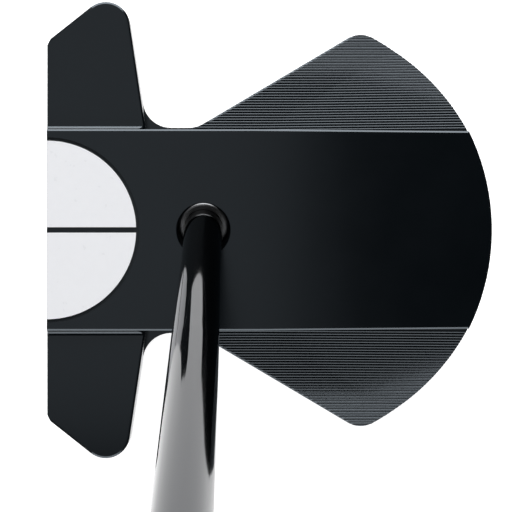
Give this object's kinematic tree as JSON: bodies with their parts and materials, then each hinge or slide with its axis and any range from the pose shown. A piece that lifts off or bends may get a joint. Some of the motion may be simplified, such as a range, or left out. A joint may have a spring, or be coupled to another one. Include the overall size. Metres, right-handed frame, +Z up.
{
  "type": "mallet putter",
  "caption": "Centre-shafted mallet golf putter: black milled head with raised deck, ridged tail fans and a white half-disc sight mark, black steel shaft, pistol grip.",
  "frame": {"origin": "on the sole plane, straight below the centre of the shaft socket's mouth in the top deck", "axes": "+X from the strike face towards the back of the head, +Y towards the toe (away from the player), +Z up; the club stands at its 70 degree lie with the sole flat on the ground"},
  "size_m": [0.1076, 0.3568, 0.8153],
  "materials": {
    "head": "satin black anodised, fine bead-blasted",
    "insert": "milled stainless steel with a dark finish",
    "sleeve": "machined, black anodised",
    "shaft": "mirror-polished black vapour coating on steel",
    "grip": "matt moulded rubber with a fine pebble texture",
    "cap": "semi-gloss moulded rubber",
    "tape": "woven double-sided tape",
    "enamel": "white enamel fill, semi-gloss",
    "screws": "stainless steel, machined",
    "weights": "turned stainless steel, satin",
    "seals": "black nitrile",
    "plug": "moulded plastic",
    "adhesive": "cured epoxy"
  },
  "bodies": {
    "root": {"head_body": "head", "face_insert": "insert", "face_bond": "adhesive", "hosel_sleeve": "sleeve", "shaft_epoxy": "adhesive", "shaft": "shaft", "shaft_tip_plug": "plug", "grip_body": "grip", "grip_cap": "cap", "grip_tape": "tape", "sight_enamel_toe": "enamel", "balance_screws_toe": "screws", "front_weight_toe": "weights", "front_weight_seal_toe": "seals", "rear_weight_toe": "weights", "rear_weight_seal_toe": "seals", "sight_enamel_heel": "enamel", "balance_screws_heel": "screws", "front_weight_heel": "weights", "front_weight_seal_heel": "seals", "rear_weight_heel": "weights", "rear_weight_seal_heel": "seals"}
  },
  "joints": []
}
